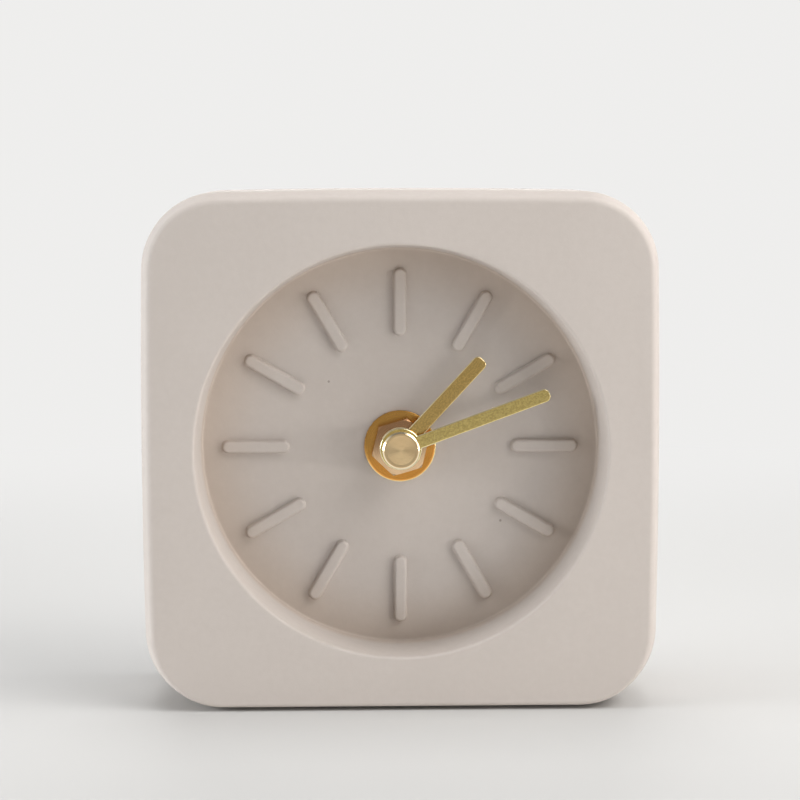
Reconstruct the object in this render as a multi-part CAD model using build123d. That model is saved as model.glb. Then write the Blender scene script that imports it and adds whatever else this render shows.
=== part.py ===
from build123d import *
import math
import os

# Case block, seen from the front: x to the right, z up, the dial faces -Y
case_width = 100.0
case_height = 100.0
case_depth = 40.0
case_corner_radius = 15.0
case_side_bow = 0.7
lip_depth = 5.0
lip_taper_deg = 14.0
lip_front_radius = 1.3
lip_rear_radius = 8.0
back_edge_radius = 1.5

# Dial recess with its cast batons
dial_margin = 10.45
dial_depth = 13.0
dial_draft_deg = 4.0
dial_floor_round = 0.5
dial_rim_round = 0.6
dial_web = 6.0
baton_count = 12
baton_inset = 11.55
baton_length = 13.3
baton_width = 2.3
baton_height = 1.2
baton_edge_round = 0.3

# Pocket behind the dial
pocket_gap = 1.0
pocket_corner_radius = 4.0
pocket_edge_round = 0.8

# Stack on the dial floor
bush_radius = 3.9
bush_hole_gap = 0.3
bush_stand_out = 0.4
washer_radius = 7.0
washer_thickness = 0.6
washer_edge_round = 0.15
nut_across_flats = 10.0
nut_thickness = 2.4
nut_edge_chamfer = 0.2
nut_turn_deg = 16.5
gasket_radius = 11.0
gasket_thickness = 1.0

# Hands and cap nut
hand_thickness = 0.45
hand_edge_round = 0.12
hand_tip_round = 1.25
hand_eye_radius = 4.2
hour_hand_inset = 16.0
hour_hand_width = 2.9
hour_hand_clock_deg = 42.9
hour_collet_radius = 3.4
hour_collet_height = 0.5
hour_collet_gap = 0.4
minute_hand_inset = 8.75
minute_hand_width = 2.65
minute_hand_clock_deg = 69.8
hand_gap = 1.1
cap_radius = 3.4
cap_height = 2.9
cap_edge_chamfer = 0.4
cap_bore_depth = 2.0

# Pipes and arbors
hour_pipe_radius = 2.5
hour_pipe_stand_out = 0.25
minute_pipe_radius = 1.65
minute_thread_radius = 1.4
seconds_arbor_radius = 0.55
seconds_bore_radius = 0.65
setting_arbor_radius = 1.3
arbor_radius = 0.5
stub_radius = 1.0
stub_pivot_radius = 0.6
pivot_radius = 0.35
pivot_length = 0.7

# Fits
run_fit = 0.04
thread_fit = 0.03
seat_fit = 0.05
shoulder_gap = 0.05
overrun = 1.0

# Movement shell
movement_height = 56.0
movement_corner_radius = 3.0
movement_edge_round = 0.8
shell_wall = 1.4
shell_front = 1.5
shell_depth = 15.0
cover_thickness = 1.5
cover_edge_round = 0.5
dish_depth = 0.6
dish_gap = 1.0
dish_edge_round = 0.25
lip_wall = 1.0
lip_reach = 1.1
lip_fit = 0.1
bay_height = 15.2
bay_wall = 1.2
ledge_reach = 2.0
ledge_width = 3.0
post_radius = 1.6
post_left = -10.8
post_right = 14.0
post_rise = 2.4
post_reach = 11.5
bridge_post_radius = 1.4
plate_margin = 2.8
plate_clear = 0.4
plate_corner_radius = 2.0

# Layers behind the shell front
flange_radius = 5.5
flange_thickness = 1.0
layer_gap = 0.3
hour_wheel_thickness = 1.0
cannon_length = 1.1
cannon_gap = 0.25
motion_wheel_thickness = 0.8
plate_gap = 0.35
train_plate_thickness = 1.0
wheel_thickness = 0.7
pinion_reach = 0.1
wheel_gap = 0.4
bridge_gap = 0.5
bridge_thickness = 0.8
wheel_rim_width = 0.9
wheel_hub_radius = 2.0
web_drop = 0.2

# Teeth
cannon_axis_gap = 9.0
train_axis_gap = 8.0
fifth_axis_gap = 8.225
rotor_axis_gap = 5.64
cannon_teeth = 12
minute_teeth = 36
minute_pinion_teeth = 10
hour_teeth = 40
setting_teeth = 12
centre_teeth = 64
third_pinion_teeth = 8
third_teeth = 60
seconds_pinion_teeth = 8
seconds_teeth = 60
fifth_pinion_teeth = 10
fifth_teeth = 40
rotor_teeth = 8
minute_wheel_heading_deg = 10.0
setting_heading_deg = 40.0
third_heading_deg = 170.0
fifth_heading_deg = 100.0
tooth_rise_share = 0.8
wheel_drop_share = 1.05
pinion_drop_share = 1.15
wheel_tip_share = 0.09
wheel_root_share = 0.32
pinion_tip_share = 0.13
pinion_root_share = 0.26

# Motor
magnet_radius = 2.6
magnet_length = 2.0
rotor_hub_radius = 0.9
rotor_bore_gap = 0.6
stator_thickness = 0.8
stator_half_span = 17.5
stator_leg_width = 4.7
stator_half_height = 4.2
stator_notch_radius = 0.5
stator_notch_headings_deg = (45, 225)
stator_leg_rise = 2.2
core_thickness = 1.0
core_width = 3.0
coil_height = 22.0
coil_half_length = 11.0
coil_flange = 0.8
coil_flange_side = 6.8
coil_foot_width = 3.6
coil_tube_radius = 2.1
winding_radius = 3.1

# Electronics and cell
board_width = 7.0
board_length = 26.0
board_thickness = 1.0
board_level = 7.5
board_wall_gap = 0.4
board_low = -8.0
ledge_inset = 4.0
chip_radius = 2.2
chip_height = 0.9
chip_round = 0.4
chip_height_up = 2.0
crystal_radius = 1.0
crystal_length = 6.0
crystal_low = 7.0
crystal_seat_gap = 0.02
lead_width = 0.3
lead_length = 1.4
lead_spread = 0.4
cell_radius = 7.1
cell_length = 49.2
nub_radius = 2.75
nub_length = 1.3
cell_edge_round = 0.5
cell_front_gap = 0.3
cell_end_room = 2.7
contact_thickness = 0.4
contact_half_width = 4.0
contact_half_height = 5.0
contact_gap = 0.05
strip_width = 2.0
strip_tab_rise = 2.0
leaf_thickness = 0.3
leaf_half_width = 3.0
leaf_half_height = 4.0

# Knob
knob_radius = 5.5
knob_height = 3.1
knob_lift = 0.3
knob_bore_depth = 1.5
knob_flutes = 20
knob_flute_radius = 0.5
knob_edge_round = 0.4

# Sizes that follow the case and the cell
dial_wall_radius = min(case_width, case_height) / 2 - dial_margin
baton_ring_radius = dial_wall_radius - baton_inset
hour_hand_length = dial_wall_radius - hour_hand_inset
minute_hand_length = dial_wall_radius - minute_hand_inset
movement_width = cell_length + nub_length + cell_end_room + 2 * shell_wall
pocket_width = movement_width + 2 * pocket_gap
pocket_height = movement_height + 2 * pocket_gap

# Levels along Y
front_y = -case_depth / 2
back_y = case_depth / 2
dial_centre_z = case_height / 2
floor_y = front_y + dial_depth
pocket_y = floor_y + dial_web
shell_y = pocket_y + gasket_thickness
inside_y = shell_y + shell_front
shell_end_y = shell_y + shell_depth
cover_end_y = shell_end_y + cover_thickness
washer_y = floor_y - washer_thickness
nut_y = washer_y - nut_thickness
bush_y = nut_y - bush_stand_out
collet_y = bush_y - hour_collet_gap
hour_back_y = collet_y - hour_collet_height
hour_front_y = hour_back_y - hand_thickness
hour_pipe_y = hour_front_y - hour_pipe_stand_out
minute_back_y = hour_front_y - hand_gap
minute_front_y = minute_back_y - hand_thickness
cap_y = minute_front_y - cap_height
minute_pipe_y = minute_front_y - cap_bore_depth + pinion_reach
flange_y = inside_y + flange_thickness
hour_wheel_y = flange_y + layer_gap
hour_wheel_end_y = hour_wheel_y + hour_wheel_thickness
cannon_y = hour_wheel_end_y + cannon_gap
cannon_end_y = cannon_y + cannon_length
minute_wheel_y = cannon_y + (cannon_length - motion_wheel_thickness) / 2
minute_wheel_end_y = minute_wheel_y + motion_wheel_thickness
plate_y = cannon_end_y + plate_gap
plate_end_y = plate_y + train_plate_thickness
centre_y = plate_end_y + layer_gap
centre_end_y = centre_y + wheel_thickness
minute_pipe_end_y = centre_end_y + pinion_reach
third_y = centre_end_y + wheel_gap
third_end_y = third_y + wheel_thickness
seconds_y = third_end_y + layer_gap
seconds_end_y = seconds_y + wheel_thickness
fifth_y = seconds_end_y + wheel_gap
fifth_end_y = fifth_y + wheel_thickness
magnet_y = fifth_end_y + wheel_gap
magnet_end_y = magnet_y + magnet_length
bridge_y = magnet_end_y + bridge_gap
bridge_end_y = bridge_y + bridge_thickness
stator_y = (magnet_y + magnet_end_y - stator_thickness) / 2
stator_end_y = stator_y + stator_thickness
core_y = stator_y - core_thickness
coil_y = (core_y + stator_y) / 2
dish_y = cover_end_y - dish_depth
knob_y = dish_y + knob_lift
knob_end_y = knob_y + knob_height
board_y = inside_y + board_level
board_end_y = board_y + board_thickness

# Places across the movement, from the dial centre
inner_half_width = movement_width / 2 - shell_wall
inner_half_height = movement_height / 2 - shell_wall
bay_top = bay_height - inner_half_height
deck = bay_top + bay_wall
cell_z = bay_top - bay_height / 2
cell_y = inside_y + cell_front_gap + cell_radius
nub_x = inner_half_width - contact_thickness - contact_gap
cell_right = nub_x - nub_length
cell_left = cell_right - cell_length
board_left = board_wall_gap - inner_half_width
board_x = board_left + board_width / 2
board_right = board_left + board_width


def polar(distance, heading_deg):
    heading = math.radians(heading_deg)
    return distance * math.cos(heading), distance * math.sin(heading)


def shifted(place, step):
    return place[0] + step[0], place[1] + step[1]


def heading_of(start, end):
    return math.degrees(math.atan2(end[1] - start[1], end[0] - start[0]))


centre_at = (0, 0)
minute_at = polar(cannon_axis_gap, minute_wheel_heading_deg)
setting_at = shifted(minute_at, polar(cannon_axis_gap, setting_heading_deg))
third_at = polar(train_axis_gap, third_heading_deg)
fifth_at = polar(fifth_axis_gap, fifth_heading_deg)
rotor_at = (0, fifth_at[1] + math.sqrt(rotor_axis_gap ** 2 - fifth_at[0] ** 2))
post_z = deck + post_rise
low_posts = [(post_left, post_z), (post_right, post_z)]
stator_posts = [(-post_reach, rotor_at[1]), (post_reach, rotor_at[1])]
post_places = low_posts + stator_posts
plate_left = post_left - plate_margin
plate_right = setting_at[0] + plate_margin
plate_low = deck + plate_clear
plate_high = rotor_at[1] + plate_margin


# Shared shapes
def front_plane(y):
    return Plane(origin=(0, y, dial_centre_z), x_dir=(1, 0, 0), z_dir=(0, -1, 0))


def slab(sketch, y_front, y_back):
    return extrude(front_plane(y_back) * sketch, amount=y_back - y_front)


def disc(radius, y_front, y_back, place=(0, 0)):
    return slab(Pos(place[0], place[1]) * Circle(radius), y_front, y_back)


def block(x_low, x_high, y_front, y_back, z_low, z_high):
    middle = Pos((x_low + x_high) / 2, (z_low + z_high) / 2)
    return slab(middle * Rectangle(x_high - x_low, z_high - z_low), y_front, y_back)


def at_level(shape, y):
    return shape.edges().filter_by_position(Axis.Y, y - run_fit, y + run_fit)


def toothed(teeth, module, phase_deg, drop_share, tip_share, root_share):
    pitch_radius = module * teeth / 2
    root_radius = pitch_radius - drop_share * module
    tip_radius = pitch_radius + tooth_rise_share * module
    pitch_deg = 360 / teeth
    rise = [(root_radius, -root_share), (tip_radius, -tip_share)]
    fall = [(tip_radius, tip_share), (root_radius, root_share)]
    points = []
    for tooth in range(teeth):
        for radius, share in rise + fall:
            points.append(polar(radius, phase_deg + (tooth + share) * pitch_deg))
    return make_face(Polyline(*points, close=True))


def wheel(teeth, module, y_front, y_back, place):
    face = toothed(teeth, module, 0, wheel_drop_share, wheel_tip_share, wheel_root_share)
    body = slab(Pos(place[0], place[1]) * face, y_front, y_back)
    rim_radius = module * (teeth / 2 - wheel_drop_share) - wheel_rim_width
    web = Pos(place[0], place[1]) * (Circle(rim_radius) - Circle(wheel_hub_radius))
    return body - slab(web, y_back - web_drop, y_back + overrun)


def pinion(teeth, wheel_teeth, module, y_front, y_back, place, wheel_place):
    heading_deg = heading_of(wheel_place, place)
    pitch_deg = 360 / wheel_teeth
    off_deg = (pitch_deg / 2 - heading_deg) % pitch_deg - pitch_deg / 2
    phase_deg = heading_deg + 180 - off_deg * wheel_teeth / teeth + 180 / teeth
    face = toothed(teeth, module, phase_deg, pinion_drop_share, pinion_tip_share, pinion_root_share)
    return slab(Pos(place[0], place[1]) * face, y_front, y_back)


def module_of(distance, teeth, other_teeth):
    return 2 * distance / (teeth + other_teeth)


def train_arbor(place):
    body = disc(arbor_radius, plate_end_y + shoulder_gap, bridge_y - shoulder_gap, place)
    pivots = disc(pivot_radius, plate_end_y - pivot_length, bridge_y + pivot_length, place)
    return body + pivots


motion_module = module_of(cannon_axis_gap, cannon_teeth, minute_teeth)
hour_module = module_of(cannon_axis_gap, minute_pinion_teeth, hour_teeth)
centre_module = module_of(train_axis_gap, centre_teeth, third_pinion_teeth)
third_module = module_of(train_axis_gap, third_teeth, seconds_pinion_teeth)
seconds_module = module_of(fifth_axis_gap, seconds_teeth, fifth_pinion_teeth)
fifth_module = module_of(rotor_axis_gap, fifth_teeth, rotor_teeth)


# Case
def case_outline():
    half_width = case_width / 2
    half_height = case_height / 2
    corner_x = half_width - case_side_bow
    corner_z = half_height - case_side_bow
    base = Line((-corner_x, -half_height), (corner_x, -half_height))
    right = ThreePointArc((corner_x, -half_height), (half_width, 0), (corner_x, corner_z))
    top = ThreePointArc((corner_x, corner_z), (0, half_height), (-corner_x, corner_z))
    left = ThreePointArc((-corner_x, corner_z), (-half_width, 0), (-corner_x, -half_height))
    face = make_face(base + right + top + left)
    return fillet(face.vertices(), case_corner_radius)


def baton():
    bar = extrude(SlotOverall(baton_length, baton_width), amount=baton_height + overrun)
    bar = fillet(bar.faces().sort_by(Axis.Z)[-1].edges(), baton_edge_round)
    return Pos(baton_ring_radius, 0, -overrun) * bar


def make_case():
    outline = case_outline()
    crease_y = front_y + lip_depth
    body = slab(outline, crease_y, back_y)
    body += extrude(front_plane(crease_y) * outline, amount=lip_depth, taper=lip_taper_deg)
    body = fillet(at_level(body, crease_y), lip_rear_radius)
    body = fillet(at_level(body, front_y), lip_front_radius)
    body = fillet(at_level(body, back_y), back_edge_radius)
    spread = math.tan(math.radians(dial_draft_deg))
    recess = Cone(
        dial_wall_radius - dial_depth * spread,
        dial_wall_radius + overrun * spread,
        dial_depth + overrun,
        align=(Align.CENTER, Align.CENTER, Align.MIN),
    )
    body -= front_plane(floor_y) * recess
    body = fillet(at_level(body, floor_y), dial_floor_round)
    body = fillet(body.faces().sort_by(Axis.Y)[0].inner_wires()[0].edges(), dial_rim_round)
    for number in range(baton_count):
        body += front_plane(floor_y) * (Rot(0, 0, number * 360 / baton_count) * baton())
    pocket = RectangleRounded(pocket_width, pocket_height, pocket_corner_radius)
    body -= slab(pocket, pocket_y, back_y + overrun)
    body = fillet(body.faces().sort_by(Axis.Y)[-1].inner_wires()[0].edges(), pocket_edge_round)
    return body - disc(bush_radius + bush_hole_gap, floor_y - overrun, pocket_y + overrun)


# Stack on the dial floor
def make_rubber_gasket():
    return disc(gasket_radius, pocket_y, shell_y) - disc(bush_radius + run_fit, pocket_y, shell_y)


def make_dial_washer():
    ring = disc(washer_radius, washer_y, floor_y)
    ring = fillet(at_level(ring, washer_y), washer_edge_round)
    return ring - disc(bush_radius + run_fit, washer_y - overrun, floor_y + overrun)


def make_hex_nut():
    flats = RegularPolygon(nut_across_flats / 2, 6, major_radius=False, rotation=nut_turn_deg)
    body = slab(flats, nut_y, washer_y)
    body = chamfer(at_level(body, nut_y), nut_edge_chamfer)
    return body - disc(bush_radius + thread_fit, nut_y - overrun, washer_y + overrun)


def make_threaded_bush():
    body = disc(bush_radius, bush_y, inside_y)
    body = chamfer(at_level(body, bush_y), nut_edge_chamfer)
    body += disc(flange_radius, inside_y, flange_y)
    return body - disc(hour_pipe_radius + run_fit, bush_y - overrun, flange_y + overrun)


# Hands
def hand_face(length, width, clock_deg):
    bar = Pos(length / 2, 0) * Rectangle(length, width)
    bar = fillet(bar.vertices().sort_by(Axis.X)[-2:], hand_tip_round)
    return Rot(0, 0, 90 - clock_deg) * (bar + Circle(hand_eye_radius))


def make_hour_hand():
    body = slab(hand_face(hour_hand_length, hour_hand_width, hour_hand_clock_deg), hour_front_y, hour_back_y)
    body = fillet(at_level(body, hour_front_y), hand_edge_round)
    body += disc(hour_collet_radius, hour_back_y, collet_y)
    return body - disc(hour_pipe_radius, hour_front_y - overrun, collet_y + overrun)


def make_minute_hand():
    face = hand_face(minute_hand_length, minute_hand_width, minute_hand_clock_deg)
    body = slab(face, minute_front_y, minute_back_y)
    body = fillet(at_level(body, minute_front_y), hand_edge_round)
    return body - disc(minute_thread_radius, minute_front_y - overrun, minute_back_y + overrun)


def make_cap_nut():
    body = disc(cap_radius, cap_y, minute_front_y)
    body = chamfer(at_level(body, cap_y), cap_edge_chamfer)
    bore_y = minute_front_y - cap_bore_depth
    return body - disc(minute_thread_radius + thread_fit, bore_y, minute_front_y + overrun)


# Motion work
def make_hour_wheel():
    body = wheel(hour_teeth, hour_module, hour_wheel_y, hour_wheel_end_y, centre_at)
    body += disc(hour_pipe_radius, hour_pipe_y, hour_wheel_y)
    return body - disc(minute_pipe_radius + run_fit, hour_pipe_y - overrun, hour_wheel_end_y + overrun)


def make_minute_pipe():
    body = disc(minute_pipe_radius, minute_back_y, minute_pipe_end_y)
    body += disc(minute_thread_radius, minute_pipe_y, minute_back_y)
    body += pinion(cannon_teeth, minute_teeth, motion_module, cannon_y, cannon_end_y, centre_at, minute_at)
    return body - disc(seconds_bore_radius, minute_back_y, minute_pipe_end_y + overrun)


def make_minute_wheel():
    body = wheel(minute_teeth, motion_module, minute_wheel_y, minute_wheel_end_y, minute_at)
    pinion_y = hour_wheel_y - pinion_reach
    teeth = minute_pinion_teeth
    body += pinion(teeth, hour_teeth, hour_module, pinion_y, minute_wheel_y, minute_at, centre_at)
    body += disc(stub_radius, inside_y + shoulder_gap, plate_y - shoulder_gap, minute_at)
    return body + disc(stub_pivot_radius, inside_y - pivot_length, plate_y + pivot_length, minute_at)


def make_setting_pinion():
    body = disc(setting_arbor_radius, inside_y + shoulder_gap, knob_y + knob_bore_depth, setting_at)
    body += disc(stub_pivot_radius, inside_y - pivot_length, inside_y + shoulder_gap, setting_at)
    teeth = setting_teeth
    return body + pinion(teeth, minute_teeth, motion_module, cannon_y, cannon_end_y, setting_at, minute_at)


def make_setting_knob():
    body = disc(knob_radius, knob_y, knob_end_y, setting_at)
    body = fillet(at_level(body, knob_end_y), knob_edge_round)
    for number in range(knob_flutes):
        place = shifted(setting_at, polar(knob_radius, number * 360 / knob_flutes))
        body -= disc(knob_flute_radius, knob_y - overrun, knob_end_y + overrun, place)
    return body - disc(setting_arbor_radius, knob_y - overrun, knob_y + knob_bore_depth, setting_at)


# Running train
def make_centre_wheel():
    body = wheel(centre_teeth, centre_module, centre_y, centre_end_y, centre_at)
    return body - disc(minute_pipe_radius + thread_fit, centre_y - overrun, centre_end_y + overrun)


def make_third_wheel():
    body = train_arbor(third_at)
    pinion_y = centre_y - pinion_reach
    body += pinion(third_pinion_teeth, centre_teeth, centre_module, pinion_y, third_y, third_at, centre_at)
    return body + wheel(third_teeth, third_module, third_y, third_end_y, third_at)


def make_seconds_wheel():
    body = disc(seconds_arbor_radius, bush_y, bridge_y - shoulder_gap)
    body += disc(pivot_radius, seconds_end_y, bridge_y + pivot_length)
    pinion_y = third_y - pinion_reach
    body += pinion(seconds_pinion_teeth, third_teeth, third_module, pinion_y, seconds_y, centre_at, third_at)
    return body + wheel(seconds_teeth, seconds_module, seconds_y, seconds_end_y, centre_at)


def make_fifth_wheel():
    body = train_arbor(fifth_at)
    pinion_y = seconds_y - pinion_reach
    body += pinion(fifth_pinion_teeth, seconds_teeth, seconds_module, pinion_y, fifth_y, fifth_at, centre_at)
    return body + wheel(fifth_teeth, fifth_module, fifth_y, fifth_end_y, fifth_at)


def make_rotor_pinion():
    body = train_arbor(rotor_at)
    pinion_y = fifth_y - pinion_reach
    body += pinion(rotor_teeth, fifth_teeth, fifth_module, pinion_y, magnet_y, rotor_at, fifth_at)
    return body + disc(rotor_hub_radius, magnet_y, magnet_end_y, rotor_at)


def make_rotor_magnet():
    body = disc(magnet_radius, magnet_y, magnet_end_y, rotor_at)
    return body - disc(rotor_hub_radius, magnet_y - overrun, magnet_end_y + overrun, rotor_at)


def make_stator():
    high = coil_height + stator_leg_rise
    low = rotor_at[1] - stator_half_height
    bar_high = rotor_at[1] + stator_half_height
    body = block(-stator_half_span, stator_half_span, stator_y, stator_end_y, low, bar_high)
    for side in (-1, 1):
        ends = sorted((side * stator_half_span, side * (stator_half_span - stator_leg_width)))
        body += block(ends[0], ends[1], stator_y, stator_end_y, low, high)
    bore_radius = magnet_radius + rotor_bore_gap
    body -= disc(bore_radius, stator_y - overrun, stator_end_y + overrun, rotor_at)
    for heading_deg in stator_notch_headings_deg:
        place = shifted(rotor_at, polar(bore_radius, heading_deg))
        body -= disc(stator_notch_radius, stator_y - overrun, stator_end_y + overrun, place)
    for place in stator_posts:
        body -= disc(bridge_post_radius + seat_fit, stator_y - overrun, stator_end_y + overrun, place)
    return body


# Coil
def along_x(sketch, x_low, x_high):
    plane = Plane(origin=(x_low, coil_y, dial_centre_z + coil_height), x_dir=(0, 1, 0), z_dir=(1, 0, 0))
    return extrude(plane * sketch, amount=x_high - x_low)


def make_coil_core():
    low = coil_height - core_width / 2
    return block(-stator_half_span, stator_half_span, core_y, stator_y, low, low + core_width)


def make_coil_bobbin():
    inner = coil_half_length - coil_flange
    body = along_x(Circle(coil_tube_radius), -coil_half_length, coil_half_length)
    flange = RectangleRounded(coil_flange_side, coil_flange_side, coil_flange)
    body += along_x(flange, -coil_half_length, -inner)
    body += along_x(flange, inner, coil_half_length)
    half = coil_foot_width / 2
    for ends in ((-coil_half_length, -inner), (inner, coil_half_length)):
        body += block(ends[0], ends[1], inside_y, coil_y, coil_height - half, coil_height + half)
    slot = Rectangle(core_thickness, core_width)
    return body - along_x(slot, -coil_half_length - overrun, coil_half_length + overrun)


def make_coil_winding():
    inner = coil_half_length - coil_flange
    return along_x(Circle(winding_radius) - Circle(coil_tube_radius), -inner, inner)


# Plates
def plate_face():
    middle = Pos((plate_left + plate_right) / 2, (plate_low + plate_high) / 2)
    return middle * RectangleRounded(plate_right - plate_left, plate_high - plate_low, plate_corner_radius)


def make_train_plate():
    body = slab(plate_face(), plate_y, plate_end_y)
    for place in post_places:
        body += disc(post_radius, inside_y, plate_y, place)
    holes = [(place, pivot_radius) for place in (third_at, fifth_at, rotor_at)]
    holes += [(minute_at, stub_pivot_radius), (centre_at, minute_pipe_radius)]
    holes += [(setting_at, setting_arbor_radius)]
    for place, radius in holes:
        body -= disc(radius + run_fit, plate_y - overrun, plate_end_y + overrun, place)
    return body


def make_train_bridge():
    body = slab(plate_face(), bridge_y, bridge_end_y)
    for place in post_places:
        body += disc(bridge_post_radius, plate_end_y, bridge_y, place)
    holes = [(place, pivot_radius) for place in (centre_at, third_at, fifth_at, rotor_at)]
    holes += [(setting_at, setting_arbor_radius + layer_gap)]
    for place, radius in holes:
        body -= disc(radius + run_fit, bridge_y - overrun, bridge_end_y + overrun, place)
    return body


# Shell of the movement
def cell_bar(radius, x_low, x_high):
    plane = Plane(origin=(x_low, cell_y, dial_centre_z + cell_z), x_dir=(0, 1, 0), z_dir=(1, 0, 0))
    return extrude(plane * Circle(radius), amount=x_high - x_low)


def make_movement_housing():
    outside = RectangleRounded(movement_width, movement_height, movement_corner_radius)
    body = slab(outside, shell_y, shell_end_y)
    body = fillet(at_level(body, shell_y), movement_edge_round)
    inner_radius = movement_corner_radius - shell_wall
    hollow = RectangleRounded(2 * inner_half_width, 2 * inner_half_height, inner_radius)
    body -= slab(hollow, inside_y, shell_end_y + overrun)
    rooted = inner_half_width + shell_wall / 2
    body += block(-rooted, rooted, inside_y, shell_end_y, bay_top, deck)
    ledge_end = ledge_reach - inner_half_width
    for z in (board_low + ledge_inset, board_low + board_length - ledge_inset):
        half = ledge_width / 2
        body += block(-rooted, ledge_end, inside_y, board_y, z - half, z + half)
    body -= disc(bush_radius + seat_fit, shell_y - overrun, inside_y + overrun)
    for place in (minute_at, setting_at):
        hole_y = inside_y - pivot_length - shoulder_gap
        body -= disc(stub_pivot_radius + run_fit, hole_y, inside_y + overrun, place)
    slot_front = cell_y - contact_half_width
    slot_back = cell_y + contact_half_width
    for side in (-1, 1):
        ends = sorted((side * inner_half_width, side * (inner_half_width - contact_thickness)))
        body -= block(ends[0], ends[1], slot_front, slot_back, bay_top - overrun, deck + overrun)
    return body


def make_movement_cover():
    top = movement_height / 2
    middle = Pos(0, (bay_top + top) / 2)
    face = middle * Rectangle(movement_width, top - bay_top)
    face = fillet(face.vertices().group_by(Axis.Y)[-1], movement_corner_radius)
    body = slab(face, shell_end_y, cover_end_y)
    body = fillet(at_level(body, cover_end_y), cover_edge_round)
    side = inner_half_width - lip_fit
    high = inner_half_height - lip_fit
    lip_y = shell_end_y - lip_reach
    ring = block(-side, side, lip_y, shell_end_y, deck + lip_fit, high)
    inner = side - lip_wall
    ring -= block(-inner, inner, lip_y - overrun, shell_end_y + overrun, deck - overrun, high - lip_wall)
    ring = fillet(ring.edges().filter_by(Axis.Y).sort_by(Axis.Z)[-2:], movement_corner_radius - shell_wall)
    body += ring
    body -= disc(knob_radius + dish_gap, dish_y, cover_end_y + overrun, setting_at)
    body = fillet(body.faces().sort_by(Axis.Y)[-1].inner_wires()[0].edges(), dish_edge_round)
    bearing = setting_arbor_radius + run_fit
    return body - disc(bearing, shell_end_y - overrun, cover_end_y + overrun, setting_at)


# Electronics
def make_circuit_board():
    return block(board_left, board_right, board_y, board_end_y, board_low, board_low + board_length)


def make_driver_chip():
    body = disc(chip_radius, board_end_y, board_end_y + chip_height, (board_x, chip_height_up))
    return fillet(at_level(body, board_end_y + chip_height), chip_round)


def make_quartz_crystal():
    middle_y = board_end_y + crystal_seat_gap + crystal_radius
    plane = Plane(origin=(board_x, middle_y, dial_centre_z + crystal_low), x_dir=(1, 0, 0), z_dir=(0, 0, 1))
    body = extrude(plane * Circle(crystal_radius), amount=crystal_length)
    for side in (-1, 1):
        x = board_x + side * lead_spread
        half = lead_width / 2
        foot = crystal_low - lead_length
        body += block(x - half, x + half, middle_y - half, middle_y + half, foot, crystal_low)
        body += block(x - half, x + half, board_end_y, middle_y, foot, foot + lead_width)
    return body


def make_positive_contact():
    right = inner_half_width
    left = right - contact_thickness
    low = cell_z - contact_half_height
    strip_top = deck + contact_thickness
    strip_end_y = board_end_y + strip_width
    tab_left = board_right - strip_width
    body = block(left, right, cell_y - contact_half_width, cell_y + contact_half_width, low, strip_top)
    body += block(tab_left, right, board_end_y, strip_end_y, deck, strip_top)
    tab_top = board_low + strip_tab_rise
    return body + block(tab_left, board_right, board_end_y, board_end_y + contact_thickness, deck, tab_top)


def make_negative_contact():
    left = -inner_half_width
    right = left + contact_thickness
    low = cell_z - contact_half_height
    top = board_low + strip_tab_rise
    body = block(left, right, cell_y - contact_half_width, cell_y + contact_half_width, low, top)
    crest = cell_left - contact_gap
    rise = cell_z - leaf_half_height
    fall = cell_z + leaf_half_height
    outer = ThreePointArc((right, rise), (crest, cell_z), (right, fall))
    inner_low = rise + leaf_thickness
    inner_high = fall - leaf_thickness
    inner = ThreePointArc((right, inner_high), (crest - leaf_thickness, cell_z), (right, inner_low))
    ends = Line((right, fall), (right, inner_high)) + Line((right, inner_low), (right, rise))
    leaf = make_face(outer + inner + ends)
    return body + slab(leaf, cell_y - leaf_half_width, cell_y + leaf_half_width)


def make_battery_cell():
    body = cell_bar(cell_radius, cell_left, cell_right)
    body = fillet(body.edges(), cell_edge_round)
    nub = cell_bar(nub_radius, cell_left, nub_x)
    nub = fillet(nub.edges().sort_by(Axis.X)[-1], cell_edge_round)
    return body + nub


makers = {
    "case": make_case,
    "rubber_gasket": make_rubber_gasket,
    "dial_washer": make_dial_washer,
    "hex_nut": make_hex_nut,
    "threaded_bush": make_threaded_bush,
    "hour_hand": make_hour_hand,
    "minute_hand": make_minute_hand,
    "cap_nut": make_cap_nut,
    "hour_wheel": make_hour_wheel,
    "minute_pipe": make_minute_pipe,
    "minute_wheel": make_minute_wheel,
    "setting_pinion": make_setting_pinion,
    "setting_knob": make_setting_knob,
    "centre_wheel": make_centre_wheel,
    "third_wheel": make_third_wheel,
    "seconds_wheel": make_seconds_wheel,
    "fifth_wheel": make_fifth_wheel,
    "rotor_pinion": make_rotor_pinion,
    "rotor_magnet": make_rotor_magnet,
    "stator": make_stator,
    "coil_core": make_coil_core,
    "coil_bobbin": make_coil_bobbin,
    "coil_winding": make_coil_winding,
    "train_plate": make_train_plate,
    "train_bridge": make_train_bridge,
    "movement_housing": make_movement_housing,
    "movement_cover": make_movement_cover,
    "circuit_board": make_circuit_board,
    "driver_chip": make_driver_chip,
    "quartz_crystal": make_quartz_crystal,
    "positive_contact": make_positive_contact,
    "negative_contact": make_negative_contact,
    "battery_cell": make_battery_cell,
}

os.makedirs("parts", exist_ok=True)
for node, make in makers.items():
    export_step(make(), "parts/" + node + ".step")
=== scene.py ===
import math
from functools import partialmethod

import bmesh
import bpy
import numpy as np
from mathutils import Matrix, Vector


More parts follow.
